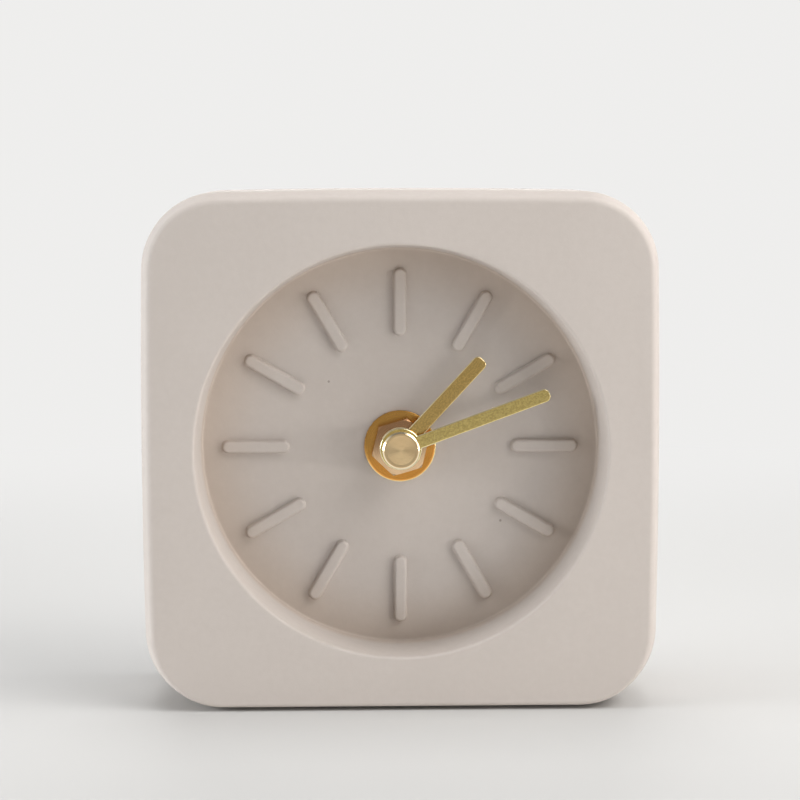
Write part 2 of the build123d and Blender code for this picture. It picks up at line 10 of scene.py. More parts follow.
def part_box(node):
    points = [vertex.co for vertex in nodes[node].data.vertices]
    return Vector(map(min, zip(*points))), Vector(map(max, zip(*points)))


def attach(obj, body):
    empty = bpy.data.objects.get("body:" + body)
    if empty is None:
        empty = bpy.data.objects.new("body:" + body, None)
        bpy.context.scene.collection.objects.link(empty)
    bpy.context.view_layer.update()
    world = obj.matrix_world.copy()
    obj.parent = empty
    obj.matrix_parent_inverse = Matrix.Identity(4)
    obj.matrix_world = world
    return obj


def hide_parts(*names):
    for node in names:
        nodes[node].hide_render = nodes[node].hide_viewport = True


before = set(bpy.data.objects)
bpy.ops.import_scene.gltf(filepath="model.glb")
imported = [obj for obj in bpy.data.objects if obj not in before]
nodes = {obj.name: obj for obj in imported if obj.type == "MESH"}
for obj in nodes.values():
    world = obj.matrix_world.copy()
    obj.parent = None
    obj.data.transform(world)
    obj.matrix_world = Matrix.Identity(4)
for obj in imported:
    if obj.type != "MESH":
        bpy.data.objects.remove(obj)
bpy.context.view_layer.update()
scene = bpy.context.scene
joined = np.concatenate
mm = 0.001  # pieces are worked out in millimetres and put into the mesh in metres
turn = 2 * math.pi
joinGap = 0.0002  # points closer than this many millimetres become one
leastBend = 1e-4  # a smaller bend, in radians, is no corner
tiny = 1e-6  # keeps divisors away from zero


def nodeBox(node):  # lowest and highest corner of a solid, in millimetres
    low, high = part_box(node)
    return np.array(low) / mm, np.array(high) / mm


caseLow, caseHigh = nodeBox("case")
dialZ = (caseLow[2] + caseHigh[2]) / 2
axisAt = (0.0, dialZ)  # the dial's axis as (x, z), in millimetres
axisPlace = (0.0, dialZ * mm)  # the same in metres
print("frame loaded:", len(nodes), "solids")


# Meshes

def surface(points, closeRows=False, closeCols=False):
    # a grid of points (rows, cols, 3) as a vertex list, and quads between neighbouring rings, joined end to
    # start where a direction is closed
    rows, cols = points.shape[:2]
    r = np.arange(rows if closeRows else rows - 1)[:, None]
    c = np.arange(cols if closeCols else cols - 1)
    nextRow, nextCol = (r + 1) % rows, (c + 1) % cols
    corners = [r * cols + c, r * cols + nextCol, nextRow * cols + nextCol, nextRow * cols + c]
    return points.reshape(-1, 3), np.stack(corners, -1).reshape(-1, 4)


def together(parts):
    # several surfaces as one vertex list, with each part's face numbers moved past the ones before
    starts = np.cumsum([0] + [len(points) for points, faces in parts[:-1]])
    points = joined([points for points, faces in parts])
    faces = joined([faces + start for start, (_, faces) in zip(starts, parts)])
    return points, faces


def placed(name, data):  # a new object with this data, put in the scene
    thing = bpy.data.objects.new(name, data)
    scene.collection.objects.link(thing)
    return thing


def makePiece(name, shape, body, material, standsFor=(), sharpDeg=None):
    # a mesh from points and quads, closed at seams and poles, smooth but for edges over sharpDeg
    points, faces = shape
    mesh = bpy.data.meshes.new(name)
    mesh.vertices.add(len(points))
    mesh.vertices.foreach_set("co", (points * mm).astype(np.float32).ravel())
    mesh.loops.add(faces.size)
    mesh.loops.foreach_set("vertex_index", faces.astype(np.int32).ravel())
    mesh.polygons.add(len(faces))
    mesh.polygons.foreach_set("loop_start", np.arange(0, faces.size, 4, dtype=np.int32))
    mesh.update(calc_edges=True)
    build = bmesh.new()
    build.from_mesh(mesh)
    bmesh.ops.remove_doubles(build, verts=build.verts, dist=joinGap * mm)
    bmesh.ops.recalc_face_normals(build, faces=build.faces)
    build.to_mesh(mesh)
    build.free()
    mesh.polygons.foreach_set("use_smooth", np.ones(len(mesh.polygons), dtype=bool))
    if sharpDeg:
        mesh.set_sharp_from_angle(angle=math.radians(sharpDeg))
    piece = placed(name, mesh)
    mesh.materials.append(material)
    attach(piece, body)
    if standsFor:
        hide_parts(*standsFor)


def roundedLine(points, rounds, steps=6, hold=0.0, longest=0.0):
    # a polyline whose inner corners become arcs that touch both runs; hold adds a point outside each arc,
    # and runs over longest are cut
    points = [np.array(p, float) for p in points]
    line = [points[0]]
    for before, corner, after, radius in zip(points, points[1:], points[2:], rounds):
        inWay = (corner - before) / np.linalg.norm(corner - before)
        outWay = (after - corner) / np.linalg.norm(after - corner)
        bend = math.acos(np.clip(inWay @ outWay, -1, 1))
        if radius <= 0 or bend < leastBend:
            line.append(corner)
            continue
        reach = radius * math.tan(bend / 2)
        side = np.sign(inWay[0] * outWay[1] - inWay[1] * outWay[0])
        normal = side * np.array([-inWay[1], inWay[0]])
        middle = corner - reach * inWay + radius * normal
        sweep = np.linspace(0, bend, steps + 1)[:, None]
        arc = middle - radius * normal * np.cos(sweep) + radius * inWay * np.sin(sweep)
        if hold:
            line.append(arc[0] - hold * inWay)
        line.extend(arc)
        if hold:
            line.append(arc[-1] + hold * outWay)
    line = np.array(line + points[-1:])
    return densified(line, longest) if longest else line


def densified(line, longest):
    # the same line with runs longer than the given length cut into equal parts
    parts = [line[:1]]
    for start, end in zip(line[:-1], line[1:]):
        count = max(1, math.ceil(np.linalg.norm(end - start) / longest))
        parts.append(start + (end - start) * (np.arange(1, count + 1) / count)[:, None])
    return joined(parts)


def headings(spokes):
    return np.arange(spokes) / spokes * turn


def onHeadings(reach, level, angle, place=axisAt):
    # points at a distance on each heading round an axis along Y at place (x, z), at levels y
    x = place[0] + reach * np.cos(angle)
    z = place[1] + reach * np.sin(angle)
    return np.stack([x, level + 0 * x, z], -1)


def alongHeading(along, aside, level, heading):
    # points on the dial given along and across one heading, at levels y
    cos, sin = math.cos(heading), math.sin(heading)
    x = along * cos - aside * sin
    z = dialZ + along * sin + aside * cos
    return np.stack([x, level + 0 * x, z], -1)


def turned(profile, place, spokes, closed=False, alongX=False):
    # a profile of (radius, level) carried round an axis at place: along Y at (x, z), or along X at (y, z)
    points = onHeadings(profile[:, :1], profile[:, 1:], headings(spokes), place)
    if alongX:
        points = points[..., [1, 0, 2]]
    return surface(points, closeRows=closed, closeCols=True)


# Shader sockets

class Sock:  # one shader socket; arithmetic on it adds Math nodes to its tree
    def __init__(self, tree, socket=None):
        self.tree = tree
        self.socket = socket

    def node(self, kind, inputs=None, out=0, **settings):  # any node: settings first, then its sockets
        made = self.tree.nodes.new("ShaderNode" + kind)
        for key, value in settings.items():
            setattr(made, key, value)
        for key, value in (inputs or {}).items():
            if isinstance(value, Sock):
                self.tree.links.new(value.socket, made.inputs[key])
            else:
                made.inputs[key].default_value = value
        return Sock(self.tree, made.outputs[out])

    def maths(self, operation, other=0.0, swapped=False):
        pair = {0: other, 1: self} if swapped else {0: self, 1: other}
        return self.node("Math", pair, operation=operation)

    def feed(self, shader, key):
        self.tree.links.new(self.socket, shader.inputs[key])

    __add__ = __radd__ = partialmethod(maths, "ADD")
    __sub__ = partialmethod(maths, "SUBTRACT")
    __rsub__ = partialmethod(maths, "SUBTRACT", swapped=True)
    __mul__ = __rmul__ = partialmethod(maths, "MULTIPLY")
    __truediv__ = partialmethod(maths, "DIVIDE")
    __pow__ = partialmethod(maths, "POWER")
    __abs__ = partialmethod(maths, "ABSOLUTE")
    above = partialmethod(maths, "GREATER_THAN")  # one where it is over the limit, else nothing
    most = partialmethod(maths, "MAXIMUM")  # the larger of the two


def startFinish(name, constants):
    # a new material: its Principled shader with constant sockets set, and the object's own coordinates
    material = bpy.data.materials.new(name)
    material.use_nodes = True
    shader = material.node_tree.nodes["Principled BSDF"]
    for key, value in constants.items():
        shader.inputs[key].default_value = value
    place = Sock(material.node_tree).node("TexCoord", out="Object")
    return material, shader, place


def noise(place, scale, detail=2.0, rough=0.5):
    inputs = {"Vector": place, "Scale": scale, "Detail": detail, "Roughness": rough}
    return place.node("TexNoise", inputs)


def streaks(place, scales):
    # a noise drawn out along an axis by unequal scales
    drawn = place.node("VectorMath", {0: place, 1: scales}, operation="MULTIPLY")
    return noise(drawn, 1.0)


def ramped(value, low, high, toLow=0.0, toHigh=1.0):
    # value eased from low..high onto toLow..toHigh
    ends = {"From Min": low, "From Max": high, "To Min": toLow, "To Max": toHigh}
    return value.node("MapRange", {"Value": value, **ends}, interpolation_type="SMOOTHSTEP")


def faded(value, low, high):  # one up to low, eased down to nothing at high
    return ramped(value, low, high, 1.0, 0.0)


def mixed(factor, first, second, blend="MIX"):
    # a colour between first and second
    inputs = {0: factor, 6: first, 7: second}
    return factor.node("Mix", inputs, 2, data_type="RGBA", blend_type=blend)


def shared(first, second, share):  # a share of the first, and the rest of the second
    return first * share + second * (1 - share)


def axes(place):
    return [place.node("SeparateXYZ", {0: place}, key) for key in ("X", "Y", "Z")]


def awayFrom(first, second, centre):
    # distance of a point of a plane from a centre
    aside, up = first - centre[0], second - centre[1]
    return (aside * aside + up * up) ** 0.5


def turnedPlace(place, degrees):
    # coordinates moved to the dial's axis and turned about it, so that X runs along a hand
    centre = (axisPlace[0], 0, axisPlace[1])
    moved = place.node("VectorMath", {0: place, 1: centre}, operation="SUBTRACT")
    inputs = {"Vector": moved, "Rotation": (0, math.radians(degrees), 0)}
    return place.node("Mapping", inputs, vector_type="POINT")


def bump(height, strength, distance):
    inputs = {"Height": height, "Strength": strength, "Distance": distance}
    return height.node("Bump", inputs)


# Finishes

# places and widths are in metres; a noise is its scale, detail and roughness; toneSpan is the part of a
# noise that is spread over two tones
roughSpan = (0.3, 0.7)  # the part that is spread over the roughness

castStone = {
    "pale": (0.552, 0.500, 0.464, 1), "dusk": (0.532, 0.481, 0.445, 1), "holeShade": (0.30, 0.26, 0.23, 1),
    "specular": 0.28, "rough": (0.78, 0.92),
    "cloud": (32.0, 3.0, 0.55), "speck": (650.0, 2.0, 0.6), "grain": (3400.0, 2.0, 0.6),
    "cloudShare": 0.62, "toneSpan": (0.34, 0.66),
    "holeScale": 150.0, "holeRadius": 0.034, "holeLeast": 0.45, "holeEdge": 0.55, "holeDarkening": 0.75,
    "plainShare": 0.90,  # share of the cells that have no pinhole
    "seamHeight": 0.0546, "seamHalf": 0.00022, "seamSide": (0.0488, 0.0493),  # the mould's, on both sides
    "paintedCornerShadeTone": (0.945, 0.895, 0.84, 1),  # painted shade at the foot of the recess's wall, where the wall shades the floor
    "paintedCornerShadeRadius": (0.026, 0.0385), "paintedCornerShadeRadiusEnd": (0.0392, 0.0398),
    "paintedCornerShadeLevel": (-0.0105, -0.0075), "paintedCornerShadeLevelEnd": (-0.0065, -0.0055),
    "grainRise": 0.5, "speckRise": 0.6, "holeSink": 5.0, "seamRise": 1.6, "bump": (0.32, 0.00009),
}


def castStoneFinish():
    # clouds and specks between two tones; some cells of a Voronoi pattern have a pinhole of their own size
    c = castStone
    material, shader, place = startFinish("castStone", {"Specular IOR Level": c["specular"]})
    cloud, speck, grain = [noise(place, *c[key]) for key in ("cloud", "speck", "grain")]
    cells = {"Vector": place, "Scale": c["holeScale"]}
    distance, chance = [place.node("TexVoronoi", cells, key) for key in ("Distance", "Color")]
    luck, size = [chance.node("SeparateColor", {0: chance}, key) for key in ("Red", "Green")]
    holeReach = c["holeRadius"] * (c["holeLeast"] + size)
    hole = faded(distance / holeReach, c["holeEdge"], 1.0) * luck.above(c["plainShare"])
    x, y, z = axes(place)
    seam = faded(abs(z - c["seamHeight"]), 0.0, c["seamHalf"]) * ramped(abs(x), *c["seamSide"])
    radius = awayFrom(x, z, axisPlace)
    # painted shade: the floor darker and warmer at the foot of the recess's wall
    film = ramped(radius, *c["paintedCornerShadeRadius"]) * faded(radius, *c["paintedCornerShadeRadiusEnd"])
    film = film * ramped(y, *c["paintedCornerShadeLevel"]) * faded(y, *c["paintedCornerShadeLevelEnd"])
    blotch = ramped(shared(cloud, speck, c["cloudShare"]), *c["toneSpan"])
    colour = mixed(film, mixed(blotch, c["pale"], c["dusk"]), c["paintedCornerShadeTone"], "MULTIPLY")
    # the pinholes darker inside
    mixed(hole * c["holeDarkening"], colour, c["holeShade"]).feed(shader, "Base Color")
    ramped(speck, *roughSpan, *c["rough"]).feed(shader, "Roughness")
    height = grain * c["grainRise"] + speck * c["speckRise"] - hole * c["holeSink"] + seam * c["seamRise"]
    bump(height, *c["bump"]).feed(shader, "Normal")
    return material


brass = {  # light and deep tone, edge (a painted highlight; on the nut a painted shade), roughness
    "hourHand": ((0.755, 0.52, 0.182, 1), (0.575, 0.38, 0.122, 1), (1.0, 0.90, 0.60, 1), (0.21, 0.27)),
    "minuteHand": ((0.845, 0.66, 0.25, 1), (0.655, 0.50, 0.170, 1), (1.0, 0.93, 0.66, 1), (0.21, 0.27)),
    "washer": ((0.97, 0.445, 0.096, 1), (0.70, 0.316, 0.063, 1), (1.0, 0.82, 0.45, 1), (0.20, 0.30)),
    "nut": ((0.88, 0.62, 0.38, 1), (0.735, 0.495, 0.285, 1), (0.55, 0.40, 0.25, 1), (0.20, 0.30)),
    "cap": ((0.97, 0.725, 0.405, 1), (0.90, 0.64, 0.342, 1), (0.96, 0.84, 0.62, 1), (0.13, 0.18)),
}
paintedShade = {  # painted shade, darker towards one side: its colour, the way it lies (x, z), and where it starts and is full along that way
    "washer": ((0.60, 0.315, 0.078, 1), (-0.52, 0.855), -0.0015, 0.0035),
    "nut": ((0.46, 0.25, 0.125, 1), (-0.25, 0.97), -0.002, 0.0045),
}
satinGrain = {
    "streakScales": (1100, 3000, 3600), "bloom": (160.0, 2.0, 0.5), "speck": (3500.0, 1.0, 0.5),
    "streakShare": 0.3, "bloomShare": 0.2, "speckShare": 0.5, "toneSpan": (0.38, 0.62),
    "edgeFrom": 0.000006, "edgeTo": 0.00005, "edgePolish": 0.35,
    "streakRise": 0.5, "speckRise": 0.5, "bump": (0.10, 0.00004),
}
latheRings = {
    "ringScale": 9000.0, "bloom": (260.0, 2.0, 0.5), "ringShare": 0.45, "toneSpan": (0.34, 0.66),
    "edgeFrom": 0.00003, "edgeTo": 0.00009, "paintedShadeStray": 0.002,
    "roughShare": 0.4, "relief": {"washer": 0.22, "nut": 0.12, "cap": 0.03}, "bumpDistance": 0.00003,
}


def satinBrass(name, tone, degrees, front):
    # satin face with a fine grain along the hand; the round edge behind its level is polished, with a
    # painted highlight in a paler colour
    g = satinGrain
    light, deep, paintedEdgeShading, rough = brass[tone]
    material, shader, place = startFinish(name, {"Metallic": 1.0})
    streak = streaks(turnedPlace(place, degrees), g["streakScales"])
    bloom = noise(place, *g["bloom"])
    speck = noise(place, *g["speck"])
    x, y, z = axes(place)
    edge = ramped(y, front + g["edgeFrom"], front + g["edgeTo"])
    grain = streak * g["streakShare"] + bloom * g["bloomShare"] + speck * g["speckShare"]
    face = mixed(ramped(grain, *g["toneSpan"]), light, deep)
    # painted highlight: the round edge painted paler
    mixed(edge, face, paintedEdgeShading).feed(shader, "Base Color")
    (ramped(bloom, *roughSpan, *rough) * (1.0 - edge * g["edgePolish"])).feed(shader, "Roughness")
    bump(streak * g["streakRise"] + speck * g["speckRise"], *g["bump"]).feed(shader, "Normal")
    return material


def turnedBrass(name, tone, front):
    # lathe rings: a noise read along the distance from the dial's axis, under a slow bloom; the edge behind
    # the face's level has a painted highlight of its own colour (a painted shade on the nut), and a painted
    # shade lies over both to one side
    g = latheRings
    light, deep, paintedEdgeShading, rough = brass[tone]
    material, shader, place = startFinish(name, {"Metallic": 1.0})
    x, y, z = axes(place)
    radius = awayFrom(x, z, axisPlace)
    inputs = {"W": radius * g["ringScale"], "Scale": 1.0, "Detail": 2.0}
    ring = radius.node("TexNoise", inputs, noise_dimensions="1D")
    bloom = noise(place, *g["bloom"])
    edge = ramped(y, front + g["edgeFrom"], front + g["edgeTo"])
    blotch = ramped(shared(ring, bloom, g["ringShare"]), *g["toneSpan"])
    # painted highlight: the edge behind the face painted paler (on the nut a painted shade, darker)
    colour = mixed(edge, mixed(blotch, light, deep), paintedEdgeShading)
    # painted shade: the washer darker towards the upper left, the nut darker towards the top
    if tone in paintedShade:
        shade, way, near, far = paintedShade[tone]
        lean = (x - axisPlace[0]) * way[0] + (z - axisPlace[1]) * way[1]
        colour = mixed(ramped(lean + (bloom - 0.5) * g["paintedShadeStray"], near, far), colour, shade)
    colour.feed(shader, "Base Color")
    ramped(shared(ring, bloom, g["roughShare"]), *roughSpan, *rough).feed(shader, "Roughness")
    bump(ring, g["relief"][tone], g["bumpDistance"]).feed(shader, "Normal")
    return material


plastics = {  # light and deep tone, roughness, the grain's scale and its relief
    "shell": ((0.026, 0.026, 0.028, 1), (0.015, 0.015, 0.017, 1), (0.44, 0.60), 5200.0, 0.30),
    "knob": ((0.040, 0.040, 0.043, 1), (0.024, 0.024, 0.026, 1), (0.34, 0.50), 3800.0, 0.12),
    "wheel": ((0.80, 0.79, 0.74, 1), (0.70, 0.69, 0.63, 1), (0.38, 0.52), 2600.0, 0.08),
    "plate": ((0.52, 0.54, 0.56, 1), (0.43, 0.45, 0.47, 1), (0.42, 0.58), 3200.0, 0.12),
    "rubber": ((0.028, 0.028, 0.028, 1), (0.016, 0.016, 0.016, 1), (0.75, 0.9), 2400.0, 0.2),
    "board": ((0.16, 0.24, 0.10, 1), (0.10, 0.17, 0.065, 1), (0.35, 0.55), 1800.0, 0.1),
    "ferrite": ((0.085, 0.085, 0.090, 1), (0.050, 0.050, 0.055, 1), (0.55, 0.72), 2800.0, 0.2),
}
moulding = {
    "specular": 0.45, "flow": (90.0, 3.0, 0.55), "grainDetail": 2.0, "grainRough": 0.55,
    "flowShare": 0.6, "toneSpan": (0.34, 0.66), "roughShare": 0.5, "bumpDistance": 0.00006,
    "markRadius": 0.0016, "markHalf": 0.00016, "markSink": 3.0,  # ring that an ejector pin leaves
}


def mouldedFinish(name, tone, marks=()):
    # spark-eroded moulding grain over slow flow marks; marks are the places (x, z) of ejector rings
    g = moulding
    light, deep, rough, grainScale, relief = plastics[tone]
    material, shader, place = startFinish(name, {"Specular IOR Level": g["specular"]})
    flow = noise(place, *g["flow"])
    grain = noise(place, grainScale, g["grainDetail"], g["grainRough"])
    blotch = ramped(shared(flow, grain, g["flowShare"]), *g["toneSpan"])
    mixed(blotch, light, deep).feed(shader, "Base Color")
    ramped(shared(flow, grain, g["roughShare"]), *roughSpan, *rough).feed(shader, "Roughness")
    height = grain
    if marks:
        x, y, z = axes(place)
    for mark in marks:
        ring = faded(abs(awayFrom(x, z, mark) - g["markRadius"]), 0.0, g["markHalf"])
        height = height - ring * g["markSink"]
    bump(height, relief, g["bumpDistance"]).feed(shader, "Normal")
    return material


sheetMetals = {  # light and deep tone, roughness
    "nickel": ((0.72, 0.70, 0.66, 1), (0.58, 0.56, 0.53, 1), (0.22, 0.36)),
    "iron": ((0.40, 0.39, 0.38, 1), (0.29, 0.28, 0.27, 1), (0.36, 0.52)),
    "copper": ((0.72, 0.34, 0.18, 1), (0.52, 0.22, 0.11, 1), (0.26, 0.40)),
    "can": ((0.66, 0.66, 0.67, 1), (0.54, 0.54, 0.55, 1), (0.24, 0.36)),
    "bush": ((0.70, 0.54, 0.27, 1), (0.54, 0.40, 0.18, 1), (0.26, 0.40)),
}
rolling = {
    "streakScales": (300, 2600, 2600), "bloom": (300.0, 3.0, 0.6), "streakShare": 0.5,
    "toneSpan": (0.36, 0.66), "roughShare": 0.6, "bump": (0.05, 0.00004),
}


def sheetMetalFinish(name, tone):
    # rolled streaks along X with a slow bloom
    g = rolling
    light, deep, rough = sheetMetals[tone]
    material, shader, place = startFinish(name, {"Metallic": 1.0})
    streak = streaks(place, g["streakScales"])
    bloom = noise(place, *g["bloom"])
    blotch = ramped(shared(streak, bloom, g["streakShare"]), *g["toneSpan"])
    mixed(blotch, light, deep).feed(shader, "Base Color")
    ramped(shared(streak, bloom, g["roughShare"]), *roughSpan, *rough).feed(shader, "Roughness")
    bump(streak, *g["bump"]).feed(shader, "Normal")
    return material


cellSleeve = {
    "body": (0.46, 0.47, 0.48, 1), "band": (0.045, 0.055, 0.070, 1), "line": (0.80, 0.80, 0.79, 1),
    "bandFrom": 0.0095, "lineAt": 0.0080, "lineHalf": 0.0006, "edge": 0.00012,
    "film": (240.0, 2.0, 0.5), "speck": (5200.0, 1.0, 0.5), "speckSpan": (0.35, 0.65), "speckShare": 0.06,
    "rough": (0.30, 0.40), "constants": {"Metallic": 0.25, "Coat Weight": 0.3, "Coat Roughness": 0.16},
}


def cellSleeveFinish():
    # a plain printed film: dark towards the positive end, one pale line beside it, slow waves in its gloss
    c = cellSleeve
    material, shader, place = startFinish("cellSleeve", c["constants"])
    x, y, z = axes(place)
    dark = ramped(x, c["bandFrom"] - c["edge"], c["bandFrom"] + c["edge"])
    line = faded(abs(x - c["lineAt"]), c["lineHalf"] - c["edge"], c["lineHalf"] + c["edge"])
    film = noise(place, *c["film"])
    speck = noise(place, *c["speck"])
    colour = mixed(line, mixed(dark, c["body"], c["band"]), c["line"])
    mixed(ramped(speck, *c["speckSpan"]) * c["speckShare"], colour, c["line"]).feed(shader, "Base Color")
    ramped(film, *roughSpan, *c["rough"]).feed(shader, "Roughness")
    return material


stoneFinish = castStoneFinish()
print("finishes started")


# Case: one closed surface, carried round the dial's axis along its own section

caseForm = {
    "cornerRadius": 15.0, "sideBow": 0.7,
    "lipDepth": 5.4, "lipTaperDeg": 14.4, "lipFrontRound": 1.3, "creaseRound": 8.0, "backRound": 1.5,
    "lipBaseShare": 0.62, "lipBaseFromDeg": 36.0, "lipBaseToDeg": 56.0,  # drawn in less along the base
    "wallRadius": 39.6, "dialDepth": 13.0, "draftDeg": 4.0, "floorRound": 0.5, "rimRound": 0.6,
    "web": 6.0, "boreRadius": 4.2, "boreRound": 0.15,
    "pocketHalf": 29.0, "pocketCorner": 4.0, "pocketRound": 0.25, "mouthRound": 0.8,
    "rimFlat": 3.0, "lipFlat": 3.5, "backFlat": 4.5, "pocketFlat": 3.0,  # flat runs beside round edges
    "hold": 0.12, "longest": 4.0, "skinLongest": 3.0, "spokes": 640,
}


def circleThrough(a, b, c):
    # centre and radius of the circle through three points of the plane
    a, b, c = (np.array(p, float) for p in (a, b, c))
    rows = 2 * np.array([b - a, c - a])
    centre = np.linalg.solve(rows, [b @ b - a @ a, c @ c - a @ a])
    return centre, np.linalg.norm(a - centre)


def outlineReach(angle, inset):
    # distance from the dial's axis to the case's outline moved inwards by inset, on each heading:
    # three bowed sides, a flat base, and corner arcs that touch both neighbours
    f = caseForm
    half = (caseHigh[0] - caseLow[0]) / 2
    high = (caseHigh[2] - caseLow[2]) / 2
    tipX, tipZ, corner = half - f["sideBow"], high - f["sideBow"], f["cornerRadius"]
    side, sideRadius = circleThrough((tipX, -high), (half, 0), (tipX, tipZ))
    top, topRadius = circleThrough((tipX, tipZ), (0, high), (-tipX, tipZ))
    gap = np.linalg.norm(top - side)  # upper corner's centre: where two inner circles meet
    r1, r2 = sideRadius - corner, topRadius - corner
    alongGap = (r1 * r1 - r2 * r2 + gap * gap) / (2 * gap)
    across = math.sqrt(r1 * r1 - alongGap * alongGap)
    way = (top - side) / gap
    choices = [side + alongGap * way + s * across * np.array([-way[1], way[0]]) for s in (-1, 1)]
    upper = max(choices, key=lambda p: p[1])
    lowerZ = corner - high
    lower = np.array([side[0] + math.sqrt(r1 * r1 - (lowerZ - side[1]) ** 2), lowerZ])
    heading = np.arctan2(np.sin(angle), np.abs(np.cos(angle)))  # both halves mirror each other
    ux, uz = np.cos(heading), np.sin(heading)
    baseRun = f["lipBaseToDeg"] - f["lipBaseFromDeg"]
    low = np.clip((-np.degrees(heading) - f["lipBaseFromDeg"]) / baseRun, 0, 1)  # 1 along the base
    eased = low * low * (3 - 2 * low)
    inset = inset[:, None] * (1 - (1 - f["lipBaseShare"]) * eased)

    def reach(centre, radius):  # far crossing of a heading with a circle
        near = ux * centre[0] + uz * centre[1]
        return near + np.sqrt(np.maximum(near * near - centre @ centre + (radius - inset) ** 2, 0))

    def touch(centre, radius, point):  # heading of the place where an arc meets a corner
        out = (point - centre) / np.linalg.norm(point - centre)
        return np.arctan2(centre[1] + (radius - inset) * out[1], centre[0] + (radius - inset) * out[0])

    baseReach = (high - inset) / np.maximum(-uz, tiny)
    lowTouch = np.arctan2(inset - high, lower[0])
    result = np.where(heading < lowTouch, baseReach, reach(lower, corner))
    result = np.where(heading > touch(side, sideRadius, lower), reach(side, sideRadius), result)
    result = np.where(heading > touch(side, sideRadius, upper), reach(upper, corner), result)
    return np.where(heading > touch(top, topRadius, upper), reach(top, topRadius), result)


def squareReach(angle, grow):
    # distance to the pocket's rounded square moved outwards by grow, on each heading
    half = caseForm["pocketHalf"] + grow[:, None]
    corner = caseForm["pocketCorner"] + grow[:, None]
    ux, uz = np.abs(np.cos(angle)), np.abs(np.sin(angle))
    flat = half / np.maximum(ux, uz)
    middle = half - corner
    near = middle * (ux + uz)
    bent = near + np.sqrt(np.maximum(near * near - 2 * middle * middle + corner * corner, 0))
    inCorner = np.minimum(ux, uz) * flat > middle
    return np.where(inCorner, bent, flat)


def caseSurface():
    # rings (distance on each heading, level y): bore, dial floor, wall, front, lip, side, back, pocket
    f = caseForm
    angle = (np.arange(f["spokes"]) + 0.5) / f["spokes"] * turn
    front, back = caseLow[1], caseHigh[1]
    floor = front + f["dialDepth"]
    pocketFloor = floor + f["web"]
    bore, rim = f["boreRadius"], f["wallRadius"]
    floorRadius = rim - f["dialDepth"] * math.tan(math.radians(f["draftDeg"]))
    recess = roundedLine(  # (radius, y) from the bore over the floor to the front
        [(bore, pocketFloor), (bore, floor), (floorRadius, floor), (rim, front),
         (rim + f["rimFlat"], front)],
        [f["boreRound"], f["floorRound"], f["rimRound"]], steps=8, hold=f["hold"], longest=f["longest"])
    taper = f["lipDepth"] * math.tan(math.radians(f["lipTaperDeg"]))
    skin = roundedLine(  # (inset, y) from the front's edge round to the back
        [(taper + f["lipFlat"], front), (taper, front), (0.0, front + f["lipDepth"]), (0.0, back),
         (f["backFlat"], back)],
        [f["lipFrontRound"], f["creaseRound"], f["backRound"]], steps=9, hold=f["hold"],
        longest=f["skinLongest"])
    hollow = roundedLine(  # (growth, y) from the back's inner edge into the pocket
        [(f["pocketFlat"], back), (0.0, back), (0.0, pocketFloor), (-f["pocketFlat"], pocketFloor)],
        [f["mouthRound"], f["pocketRound"]], hold=f["hold"], longest=f["longest"])

    circle = recess[:, :1] + 0 * angle
    outline = outlineReach(angle, skin[:, 0])
    square = squareReach(angle, hollow[:, 0])

    def bridge(first, last, steps):  # straight rings between two rings of unlike form
        share = (np.arange(1, steps) / steps)[:, None]
        return first * (1 - share) + last * share

    frontRings = bridge(circle[-1], outline[0], steps=9)
    backRings = bridge(outline[-1], square[0], steps=6)
    floorRings = bridge(square[-1], circle[0], steps=8)
    reach = joined([circle, frontRings, outline, backRings, square, floorRings])
    level = joined([
        recess[:, 1], np.full(len(frontRings), front), skin[:, 1],
        np.full(len(backRings), back), hollow[:, 1], np.full(len(floorRings), pocketFloor)])
    return surface(onHeadings(reach, level[:, None], angle), closeRows=True, closeCols=True)


batons = {
    "count": 12, "ring": 28.2, "length": 12.9, "width": 2.3, "height": 1.35, "topRound": 0.5,
    "footFlare": 0.22, "flareRise": 0.264, "sink": 0.4,
    "endSteps": 17, "sideSteps": 7, "longest": 0.8,
}


def batonSurface(heading):
    # a stadium outline carried up its section: flared foot, upright side, rounded top, closed on its spine
    b = batons
    floor = caseLow[1] + caseForm["dialDepth"]
    half, radius = (b["length"] - b["width"]) / 2, b["width"] / 2
    foot, high, sink = radius + b["footFlare"], b["height"], -b["sink"]
    sweep = np.linspace(-math.pi / 2, math.pi / 2, b["endSteps"])
    run = np.linspace(-1, 1, b["sideSteps"] + 2)[1:-1]
    end = np.full(b["endSteps"], half)
    spineX = joined([end, -run * half, -end, run * half])
    wayX = joined([np.cos(sweep), 0 * run, -np.cos(sweep), 0 * run])
    wayZ = joined([np.sin(sweep), 0 * run + 1, -np.sin(sweep), 0 * run - 1])
    section = roundedLine(
        [(0.0, sink), (foot, sink), (foot, 0.0), (radius, b["flareRise"]), (radius, high), (0.0, high)],
        [0.0, 0.0, 0.0, b["topRound"]], steps=5, hold=0.06, longest=b["longest"])
    away, rise = section[:, :1], section[:, 1:]
    along = b["ring"] + spineX + away * wayX
    return surface(alongHeading(along, away * wayZ, floor - rise, heading), closeCols=True)


caseParts = [caseSurface()] + [batonSurface(heading) for heading in headings(batons["count"])]
makePiece("castCase", together(caseParts), "clock", stoneFinish, ["case"])
print("case cast")


# Brass stack on the dial

washer = {
    "rimWidth": 0.42, "rimDrop": 0.11, "holeRadius": 3.94,
    "holeRound": 0.08, "rimRound": 0.1, "edgeRound": 0.12, "backRound": 0.05,
    "longest": 0.6, "spokes": 160,
}
washerLow, washerHigh = nodeBox("dial_washer")


